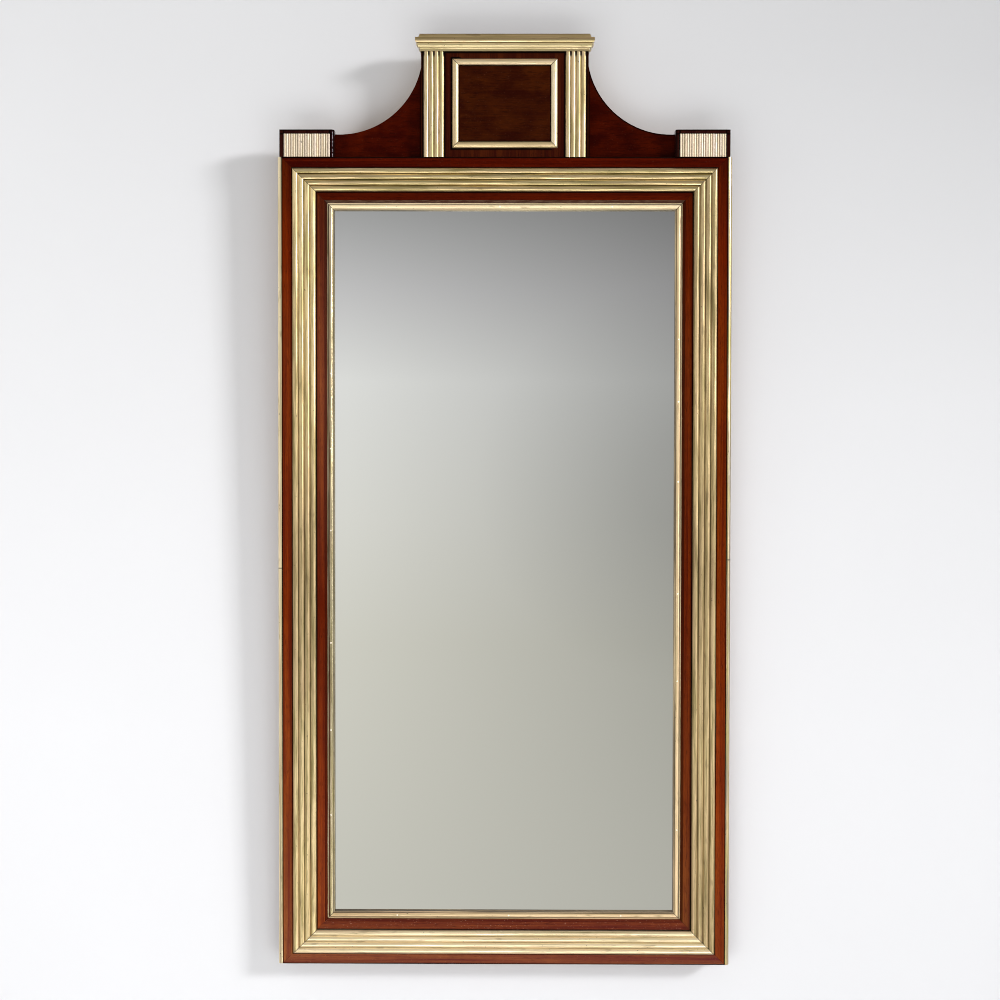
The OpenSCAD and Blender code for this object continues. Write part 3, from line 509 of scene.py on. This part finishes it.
def brass(name, along, shift, bright=BRIGHT, streaky=0.7, wave=0.0016, edges=FRAME, hollows=None, dull=0.0,
          metallic=1.0, tones=None, between=(FRAME[1], FRAME[2]), seam=None):
    """hollows is a function that tells how dark the hollows are at a point, with tarnish and painted shade.
    tones are grey levels of tarnish and painted light from the lower to the upper height in between. wave is
    how deep the dents of polishing are, and seam the height of a butt joint."""
    material, tree, surface = new_finish(name)
    parts, inwards, mitre = place_in(tree, edges)
    streaks = noise(tree, along_grain(tree, along, 270, 11, shift), detail=3, roughness=0.62)
    rosy = noise(tree, along_grain(tree, along, 330, 8, shift + 9), detail=2)
    scratches = noise(tree, along_grain(tree, along, 1200, 4, shift), detail=2)
    waves = noise(tree, along_grain(tree, along, 150, 14, shift), detail=1)
    dents = noise(tree, add_node(tree, "TexCoord").outputs["Object"], 55, detail=1)
    spots = noise(tree, along_grain(tree, along, 330, 210, shift), detail=2)
    smudges = noise(tree, along_grain(tree, along, 210, 44, shift + 5), detail=3)
    metal = blend_colours(tree, spread(tree, streaks, 0.44, 0.60, 0.0, streaky), bright, OLIVE)
    metal = blend_colours(tree, spread(tree, rosy, 0.48, 0.66, 0.0, 0.4), metal, ROSY)
    metal = blend_colours(tree, spread(tree, scratches, 0.54, 0.68, 0.0, 0.75), metal, OLIVE)
    metal = blend_colours(tree, spread(tree, smudges, 0.60, 0.72, 0.0, 0.45), metal, SMUDGE)
    # The tones are tarnish and painted light both, and on the cornice painted light alone.
    if tones:
        tarnish = ramp(tree, spread(tree, parts["Z"], *between), tones)
        metal = blend_colours(tree, 1.0, metal, tarnish, mode="MULTIPLY")
    # Dark mitres and tarnish spots, and the hollows, whose dark is tarnish and painted shade both.
    grime_and_shade = most(tree, spread(tree, mitre, 0.0003, 0.0010, 0.85, 0.0),
                 spread(tree, spots, 0.72, 0.78, 0.0, 0.8))
    if hollows:
        patchy = noise(tree, along_grain(tree, along, 120, 5, shift + 2), detail=2)
        in_hollows = math_node(tree, "MULTIPLY", hollows(tree, parts, inwards),
                             spread(tree, patchy, 0.35, 0.6, 0.35, 1.0))
        grime_and_shade = most(tree, grime_and_shade, in_hollows)
    if seam:
        grime_and_shade = most(tree, grime_and_shade, close_to(tree, parts["Z"], seam, 0.0011, 0.7))
    tree.links.new(blend_colours(tree, grime_and_shade, metal, GRIME_AND_SHADE), surface.inputs["Base Color"])
    tree.links.new(spread(tree, grime_and_shade, 0.2, 1.0, metallic, 0.2), surface.inputs["Metallic"])
    tree.links.new(spread(tree, streaks, 0.4, 0.7, 0.28 + dull, 0.42 + dull), surface.inputs["Roughness"])
    fine = add_node(tree, "Bump", {"Strength": 0.2, "Distance": 0.00006, "Height": scratches})
    uneven = math_node(tree, "ADD", waves, math_node(tree, "MULTIPLY", dents, 0.25))
    bump = add_node(tree, "Bump", {"Strength": 0.6, "Distance": wave, "Height": uneven,
                                   "Normal": fine.outputs[0]})
    tree.links.new(bump.outputs[0], surface.inputs["Normal"])
    return material


# %% Hollows between reeds
def between_reeds(tree, across, start, pitch, low=0.84, darkness=0.5):
    """darkness in the hollow between two reeds, tarnish and painted shade both. low is the share of each
    reed, round its crest, that is not darkened."""
    steps = math_node(tree, "DIVIDE", math_node(tree, "SUBTRACT", across, start), pitch)
    share = math_node(tree, "FRACT", steps)
    from_crest = math_node(tree, "ABSOLUTE", math_node(tree, "SUBTRACT", share, 0.5))
    return spread(tree, from_crest, 0.5 * low, 0.49, 0.0, darkness)


def level_hollows(tree, parts, inwards):
    return between_reeds(tree, inwards, REEDS_START, REED_PITCH)


def side_hollows(tree, parts, inwards):
    return between_reeds(tree, inwards, REEDS_START, REED_PITCH, darkness=0.2)


BEAD_HOLLOW = 0.0033


def bead_hollows(tree, parts, inwards):
    """The two hollows beside the round of a sight bead, and a painted shade along its edge on the glass."""
    middle = (BEAD_START + BEAD_END) / 2
    from_middle = math_node(tree, "ABSOLUTE", math_node(tree, "SUBTRACT", inwards, middle))
    from_hollow = math_node(tree, "ABSOLUTE", math_node(tree, "SUBTRACT", from_middle, BEAD_HOLLOW))
    return most(tree, spread(tree, from_hollow, 0.0002, 0.0009, 0.85, 0.0),
                spread(tree, inwards, BEAD_END - 0.0016, BEAD_END - 0.0008, 0.0, 0.85))


def upright_hollows(left_piece, reeds, low, shaded_top=0.0):
    """The hollows of a reeded plate, whose reeds stand at equal steps from its outer side. Over the length
    shaded_top, at its upper end, they widen into dots of painted shadow."""
    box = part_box(left_piece)
    pitch = (box[1].x - box[0].x) / reeds

    def hollows(tree, parts, inwards):
        across = math_node(tree, "ADD", math_node(tree, "ABSOLUTE", parts["X"]), box[0].x)
        found = between_reeds(tree, across, 0.0, pitch, low)
        if shaded_top:
            near_top = spread(tree, parts["Z"], box[1].z - shaded_top, box[1].z - 0.5 * shaded_top)
            found = most(tree, found, math_node(tree, "MULTIPLY", near_top,
                                                between_reeds(tree, across, 0.0, pitch, 0.4, 2.0)))
        return found
    return hollows


print(f"the hollows of a bead lie {1000 * BEAD_HOLLOW:.1f} mm from its middle")


# %% Tarnish and painted light of the four sides, from the foot up
def greys(*stops):
    """Stops of a ramp of tarnish and painted light, from triples of place, grey level and coolness. A
    coolness under 1 takes some green away, and twice as much blue."""
    return [(place, (grey, cool * grey, cool * cool * grey, 1.0)) for place, grey, cool in stops]


# Each side's grey levels and metal, and the bright metal of each side of the tablet moulding, are partly
# tarnish and partly painted light: a side is lighter or darker as the light falls on it.
REED_TONES = {"left": greys((0.1, 0.79, 0.96), (0.26, 0.65, 0.97), (0.5, 0.45, 0.92), (0.7, 0.76, 0.95),
                            (0.88, 0.89, 0.98)),
              "right": greys((0.1, 0.49, 0.91), (0.26, 0.59, 0.94), (0.5, 0.44, 0.90), (0.7, 0.57, 0.92),
                             (0.88, 0.50, 0.93)),
              "top": greys((0.0, 0.9, 0.98), (1.0, 0.9, 0.98)),
              "bottom": greys((0.0, 0.87, 0.94), (1.0, 0.87, 0.94))}
BEAD_TONES = {"left": greys((0.1, 0.8, 0.97), (0.45, 0.65, 1.0), (0.7, 0.8, 0.97), (0.9, 0.95, 1.0)),
              "right": greys((0.1, 0.83, 0.89), (0.45, 0.78, 0.89), (0.9, 0.83, 0.89)),
              "top": greys((0.0, 1.0, 0.95), (1.0, 1.0, 0.95)),
              "bottom": greys((0.0, 0.74, 0.86), (1.0, 0.74, 0.86))}
REED_SHINE = {"left": 0.6, "right": 0.5, "top": 1.0, "bottom": 0.5}
BEAD_SHINE = {"left": 1.0, "right": 0.5, "top": 0.3, "bottom": 0.35}
RING_BRIGHT = {"left": (0.88, 0.69, 0.42, 1.0), "right": (0.94, 0.79, 0.56, 1.0),
               "top": (0.97, 0.78, 0.53, 1.0), "bottom": (0.87, 0.68, 0.40, 1.0)}
RING_SHINE = {"left": 0.7, "right": 0.5, "top": 0.8, "bottom": 0.9}
print("grey levels of the left reeds from the foot up:", [tone[0] for place, tone in REED_TONES["left"]])

# %% Dress the mouldings of the frame and the tablet
for number, side in enumerate(SIDES):
    dress(brass(f"brass_reeds_{side}", GRAIN[side], 0.53 * number, tones=REED_TONES[side],
                bright=PALE if side == "bottom" else BRIGHT, streaky=0.25 if side == "bottom" else 0.8,
                hollows=level_hollows if side == "top" else side_hollows,
                metallic=REED_SHINE[side], dull=0.12 if side in ("left", "right") else 0.0),
          f"reeded_moulding_{side}")
    dress(brass(f"brass_bead_{side}", GRAIN[side], 0.53 * number + 7, bright=PALE, tones=BEAD_TONES[side],
                streaky=0.7 if side == "left" else 0.25, hollows=bead_hollows,
                metallic=BEAD_SHINE[side], dull=0.3 - 0.3 * BEAD_SHINE[side]), f"sight_bead_{side}")
    dress(brass(f"brass_tablet_{side}", GRAIN[side], 0.53 * number + 0.2, streaky=0.4, edges=RING,
                bright=RING_BRIGHT[side], metallic=RING_SHINE[side], dull=0.12),
          f"tablet_moulding_{side}")

# %% Dress strips, pilasters and plaques
# The right strip's metal is far darker than the left's: the difference is painted shade, for the light that
# falls differently on the two sides.
dress(brass("brass_edge_left", "z", 3.1, bright=PALE, streaky=0.3,
            tones=greys((0.35, 0.9, 0.97), (0.65, 1.0, 0.97)), seam=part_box("edge_strip_left_lower")[1].z),
      "edge_strip_left_lower", "edge_strip_left_upper")
dress(brass("brass_edge_right", "z", 3.3, bright=(0.32, 0.27, 0.21, 1.0), streaky=0.9, dull=0.1,
            seam=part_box("edge_strip_right_lower")[1].z), "edge_strip_right_lower", "edge_strip_right_upper")
dress(brass("brass_pilaster", "z", 3.7, bright=(0.75, 0.59, 0.37, 1.0), streaky=0.85, metallic=0.8, dull=0.17,
            hollows=upright_hollows("pilaster_left", reeds=4, low=0.84, shaded_top=0.008)),
      "pilaster_left", "pilaster_right")
dress(brass("brass_plaque", "z", 4.3, bright=(0.67, 0.56, 0.45, 1.0), streaky=0.3, wave=0.00001, dull=0.2,
            metallic=0.4, hollows=upright_hollows("corner_plaque_left", reeds=20, low=0.5)),
      "corner_plaque_left", "corner_plaque_right")

# %% Dress the cornice, layer by layer from its foot
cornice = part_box("cornice_front")
# The grey levels by height are painted light: the top of the hollow and the fillet are lighter, as if lit,
# and the groove, the foot of the round and its top edge darker, as shade.
foot = [(0.04, 0.77, 0.99), (0.18, 0.71, 1.0)]
hollow = [(0.22, 0.77, 1.02), (0.36, 0.78, 1.02), (0.38, 0.96, 1.02), (0.42, 0.96, 1.0)]
groove = [(0.44, 0.48, 0.9), (0.46, 0.48, 0.9)]
fillet = [(0.48, 0.92, 1.01), (0.59, 0.87, 1.01)]
round_and_ledge = [(0.62, 0.48, 0.93), (0.70, 0.56, 0.92), (0.75, 0.76, 0.91), (0.93, 0.84, 0.91),
                   (0.97, 0.45, 0.9)]
painted_light_layers = greys(*foot, *hollow, *groove, *fillet, *round_and_ledge)
for name, along, piece_names in (("brass_cornice", "x", ["cornice_front"]),
                                 ("brass_returns", "y", ["cornice_return_left", "cornice_return_right"])):
    dress(brass(name, along, 4.9, bright=(0.95, 0.76, 0.42, 1.0), streaky=0.5, wave=0.0001, tones=painted_light_layers,
                metallic=0.9, between=(cornice[0].z, cornice[1].z)), *piece_names)
dress(brass("brass_pins", "y", 5.9, bright=(0.95, 0.90, 0.78, 1.0), streaky=0.0, wave=0.00001, metallic=0.1),
      "bead_pins")

# %% [markdown]
# ## The plate
# A mirror is a sheet of glass with silver on its back. Nearly all that is seen is the silver's reflection,
# with a faint green from the glass in front of it. So the plate is a metal with almost no roughness, and
# its back, which faces the boards, is the dull paint that protects the silver. The surface's own normal
# tells the two faces apart. Clear glass over a silver sheet would be nearer to the real plate, but it takes
# longer to render, is noisier, and looks the same from the front.

# %% Silvered plate
BACK_PAINT = srgb(96, 88, 80)
SILVER = (0.86, 0.868, 0.86, 1.0)


def silvered_plate():
    material, tree, surface = new_finish("silvered_plate", Roughness=0.015)
    place = add_node(tree, "TexCoord")
    facing = add_node(tree, "SeparateXYZ", {"Vector": place.outputs["Normal"]}).outputs["Y"]
    front = math_node(tree, "LESS_THAN", facing, 0.5)
    tree.links.new(blend_colours(tree, front, BACK_PAINT, SILVER), surface.inputs["Base Color"])
    tree.links.new(front, surface.inputs["Metallic"])
    return material


dress(silvered_plate(), "mirror_plate")

# %% [markdown]
# ## The back
# Nobody was meant to see the back, so it is bare pine, brown with age, with nails and screws of iron. Pine
# shows wide bands of early wood between narrow dark lines of late wood. A stretched noise, cut into nine
# steps, stands for the years: towards the end of each step the wood darkens, and the next one starts light
# again. A plain brown would do from afar, but these are the largest bare faces of the mirror, so each back
# board gets a grain of its own. The iron is dark, with rust that follows a noise.

# %% Pine and iron
EARLY_WOOD = srgb(176, 134, 86)
LATE_WOOD = srgb(132, 86, 46)
PINE_FIBRE = srgb(118, 82, 50)
OLD_DUST = srgb(96, 76, 58)
RED_STAIN = srgb(54, 15, 5)
WORN_IRON = srgb(92, 88, 84)
RUST = srgb(92, 58, 38)
YEARS = 9.0


def pine(name, along, shift, stained=False):
    """stained colours all but the back, as on a board whose edges show from the front."""
    material, tree, surface = new_finish(name, Roughness=0.72)
    place = along_grain(tree, along, 30, 1.6, shift)
    rings = noise(tree, place, detail=2, distortion=0.4)
    growth = math_node(tree, "FRACT", math_node(tree, "MULTIPLY", rings, YEARS))
    late = spread(tree, growth, 0.62, 1.0, 0.0, 0.75)
    fibres = noise(tree, along_grain(tree, along, 900, 14, shift), detail=3)
    dust = noise(tree, along_grain(tree, along, 5, 3, shift), detail=4)
    wood = blend_colours(tree, late, EARLY_WOOD, LATE_WOOD)
    wood = blend_colours(tree, spread(tree, fibres, 0.35, 0.7, 0.0, 0.3), wood, PINE_FIBRE)
    wood = blend_colours(tree, spread(tree, dust, 0.35, 0.75, 0.0, 0.45), wood, OLD_DUST)
    if stained:
        not_back = math_node(tree, "LESS_THAN", looks_back(tree), 0.5)
        wood = blend_colours(tree, math_node(tree, "MULTIPLY", not_back, 0.92), wood, RED_STAIN)
    tree.links.new(wood, surface.inputs["Base Color"])
    bump = add_node(tree, "Bump", {"Strength": 0.35, "Distance": 0.0003, "Height": fibres})
    tree.links.new(bump.outputs[0], surface.inputs["Normal"])
    return material


def iron(name):
    material, tree, surface = new_finish(name, Metallic=0.8)
    place = add_node(tree, "TexCoord").outputs["Object"]
    rust = spread(tree, noise(tree, place, 260, detail=4), 0.45, 0.7)
    tree.links.new(blend_colours(tree, rust, WORN_IRON, RUST), surface.inputs["Base Color"])
    tree.links.new(spread(tree, rust, 0.0, 1.0, 0.38, 0.75), surface.inputs["Roughness"])
    bump = add_node(tree, "Bump", {"Strength": 0.4, "Distance": 0.0001, "Height": rust})
    tree.links.new(bump.outputs[0], surface.inputs["Normal"])
    return material


dress(pine("pine_upright", "z", 0.0), "stile_left", "stile_right", "crest_batten_left",
      "crest_batten_right")
dress(pine("pine_crest", "x", 2.6, stained=True), "crest_board")
dress(pine("pine_level", "x", 0.9), "rail_bottom", "rail_top", "reeded_cores",
      "glazing_blocks")
for number, name in enumerate(["back_board_bottom", "back_board_middle", "back_board_top"]):
    dress(pine(f"pine_{name}", "x", 1.7 + 0.8 * number), name)
dress(iron("dark_iron"), "hanger_strap_left", "hanger_strap_right", "hanger_ring_left",
      "hanger_ring_right", "wood_screws", "back_nails")

# %% [markdown]
# ## The room
# The mirror hangs on a pale wall over a pale floor. A mirror on wall hooks leans out at the top, and the
# picture shows it: the shadow beside the frame is nearly twice as wide at the top as at the foot. The
# model itself stays upright, so it is the wall that leans back here. The wall is a single sheet. Seen from
# behind it lets the camera look through, so that the back of the mirror can be shown as well. It could be
# taken away for those pictures, but then the script would have to know where the camera stands. It throws
# no light onto the wood, and it doesn't stop the lamp behind it.

# %% Wall and floor
FLOOR_Z = -0.95
ROOM_HALF_WIDTH = 6.0
FLOOR_NEAR_Y = -3.9
FLOOR_FAR_Y = 6.0
CEILING_Z = 4.0
WALL_GAP = 0.001
WALL_Y = cad_box[1].y + WALL_GAP
WALL_LEAN = 0.028
WALL_PAINT = (0.885, 0.89, 0.92, 1.0)
WALL_RIGHT_TONES = (0.83, 0.71)
FLOOR_PAINT = (0.5, 0.49, 0.47, 1.0)


def wall_depth(z):
    """How far back the leaning wall is at a height."""
    return WALL_Y + WALL_LEAN * z


def sheet_of_room(name, corners, material):
    """One flat sheet of the room."""
    mesh = bpy.data.meshes.new(name)
    mesh.from_pydata(corners, [], [range(len(corners))])
    mesh.materials.append(material)
    piece = bpy.data.objects.new(name, mesh)
    scene.collection.objects.link(piece)
    return piece


def plaster(name, colour, seen_through, right_tones=(1.0, 1.0)):
    """The paint is darkened towards the right and towards the top as painted shade, and in faint random
    patches. right_tones is the share that it keeps on the window's side, up to the mirror's middle and then
    near its top. seen_through makes the sheet clear from behind."""
    material, tree, surface = new_finish(name, Roughness=0.9)
    place = add_node(tree, "TexCoord").outputs["Object"]
    parts = add_node(tree, "SeparateXYZ", {"Vector": place}).outputs
    # Painted shade: darker towards the right and towards the top.
    right_tone = spread(tree, parts["Z"], 0.75, 1.25, *right_tones)
    shade_and_patches = math_node(tree, "MULTIPLY", spread(tree, parts["X"], -0.7, 0.7, 1.0, right_tone),
                      spread(tree, parts["Z"], 0.3, 1.4, 0.95, 0.80))
    patches = noise(tree, place, 2.2, detail=2)
    shade_and_patches = math_node(tree, "MULTIPLY", shade_and_patches, spread(tree, patches, 0.3, 0.7, 0.98, 1.0))
    tree.links.new(blend_colours(tree, 1.0, colour, shade_and_patches, mode="MULTIPLY"), surface.inputs["Base Color"])
    if seen_through:
        behind = add_node(tree, "NewGeometry").outputs["Backfacing"]
        clear = add_node(tree, "BsdfTransparent")
        either = add_node(tree, "MixShader", {0: behind, 1: surface.outputs[0], 2: clear.outputs[0]})
        tree.links.new(either.outputs[0], tree.nodes["Material Output"].inputs["Surface"])
    return material


left, right = -ROOM_HALF_WIDTH, ROOM_HALF_WIDTH
foot_y, top_y = wall_depth(FLOOR_Z), wall_depth(CEILING_Z)
wall = sheet_of_room("wall", [(left, foot_y, FLOOR_Z), (right, foot_y, FLOOR_Z), (right, top_y, CEILING_Z),
                              (left, top_y, CEILING_Z)],
                     plaster("wall_paint", WALL_PAINT, True, WALL_RIGHT_TONES))
wall.visible_diffuse = False
wall.visible_shadow = False
sheet_of_room("floor", [(left, FLOOR_NEAR_Y, FLOOR_Z), (right, FLOOR_NEAR_Y, FLOOR_Z),
                        (right, FLOOR_FAR_Y, FLOOR_Z), (left, FLOOR_FAR_Y, FLOOR_Z)],
              plaster("pale_floor", FLOOR_PAINT, False))
gap_above = wall_depth(cad_box[1].z) - cad_box[1].y
print(f"wall {1000 * WALL_GAP:.0f} mm behind the foot, {1000 * gap_above:.0f} mm behind the top")

# %% [markdown]
# ## The light
# Metal has no colour of its own until there is something to reflect, while paint and wood only need to be
# lit. So each has lamps of its own. In the shiny pieces, a tall narrow window, high on the right, draws the
# bright line on each upright reed, and the glow of the floor does the same for the level reeds from below.
# On paint and wood, the daylight from the right throws the soft shadow to the left. It is wide, so the
# shadow's edge is blurred. Two larger and weaker lights, one from the front and one from below, fill the
# shadows, and one behind the wall lights the back. The rest of the room is what the plate shows: lighter on
# the left, darker towards the ceiling. A picture of a whole room could light all of this in one step, but
# with lamps each line of light on the brass can be set on its own.

# %% Lights
def soft_light(name, place, aim, width, height, power, lights="everything"):
    """lights may be "everything", "paint and wood" or "shiny pieces"."""
    light = bpy.data.lights.new(name, "AREA")
    light.shape = "RECTANGLE"
    light.size = width
    light.size_y = height
    light.energy = power
    lamp = bpy.data.objects.new(name, light)
    scene.collection.objects.link(lamp)
    lamp.location = place
    lamp.rotation_mode = "QUATERNION"
    lamp.rotation_quaternion = (Vector(aim) - Vector(place)).to_track_quat("-Z", "Y")
    lamp.visible_glossy = lights != "paint and wood"
    lamp.visible_diffuse = lights != "shiny pieces"
    print(f"{name}: {width} by {height} m, {power} W, for {lights}")
    return lamp


MIDDLE = Vector((0.0, FRONT_Y, 0.6))
for name, offset, width, height, power, lights in (
        ("daylight", (5.93, -5.0, 2.62), 1.9, 1.0, 380, "paint and wood"),
        ("window", (5.2, -2.9, 1.9), 0.55, 2.6, 400, "shiny pieces"),
        ("floor_glow", (0.2, -1.3, -1.45), 2.4, 0.7, 24, "shiny pieces"),
        ("floor_fill", (0.0, -2.5, -1.5), 3.6, 2.0, 56, "paint and wood"),
        ("fill", (0.0, -3.4, -0.3), 3.0, 2.0, 25, "paint and wood")):
    soft_light(name, MIDDLE + Vector(offset), MIDDLE, width, height, power, lights)
soft_light("behind", (0.0, 3.0, 2.0), (0.0, 0.0, 0.6), 2.0, 2.0, 60)


# %% Room behind the camera
def soft_room():
    """The glow of the room, by direction: warm below, brightest at the level of the eye, then a darker cove
    and ceiling. Near the middle it falls off to the right, far to the left it is paler, and a cupboard
    stands a little right of straight back."""
    world = bpy.data.worlds.new("room")
    scene.world = world
    world.use_nodes = True
    tree = world.node_tree
    tree.nodes.clear()
    direction = add_node(tree, "TexCoord").outputs["Generated"]
    parts = add_node(tree, "SeparateXYZ", {"Vector": direction}).outputs
    low, mid = (0.57, 0.56, 0.50, 1.0), (0.63, 0.63, 0.615, 1.0)
    cove, ceiling = (0.465, 0.46, 0.463, 1.0), (0.30, 0.30, 0.30, 1.0)
    upward = ramp(tree, spread(tree, parts["Z"], -0.25, 0.25),
                  [(0.0, low), (0.30, low), (0.56, mid), (0.65, cove), (0.73, ceiling), (1.0, 0.34)])
    sideways = spread(tree, parts["X"], -0.085, 0.085, 1.3, 0.7)
    near_middle = math_node(tree, "MULTIPLY", spread(tree, parts["Z"], -0.22, -0.04, 0.42, 1.0),
                            spread(tree, math_node(tree, "ABSOLUTE", parts["X"]), 0.2, 0.5, 1.0, 0.0))
    strength = math_node(tree, "ADD", 1.0, math_node(tree, "MULTIPLY", near_middle,
                                                     math_node(tree, "SUBTRACT", sideways, 1.0)))
    pale_left = spread(tree, parts["X"], -0.7, -0.25, 0.7, 0.0)
    cupboard = add_node(tree, "VectorMath", {0: direction, 1: (0.08, -1.0, -0.02)}, operation="DISTANCE")
    shade = spread(tree, cupboard.outputs["Value"], 0.02, 0.1, 0.86, 1.0)
    strength = math_node(tree, "MULTIPLY", math_node(tree, "ADD", strength, pale_left), shade)
    light = add_node(tree, "Background", {"Color": upward, "Strength": strength})
    add_node(tree, "OutputWorld", {"Surface": light.outputs[0]})
    print(f"room: light from all round, drawn by {len(tree.nodes)} nodes")


soft_room()
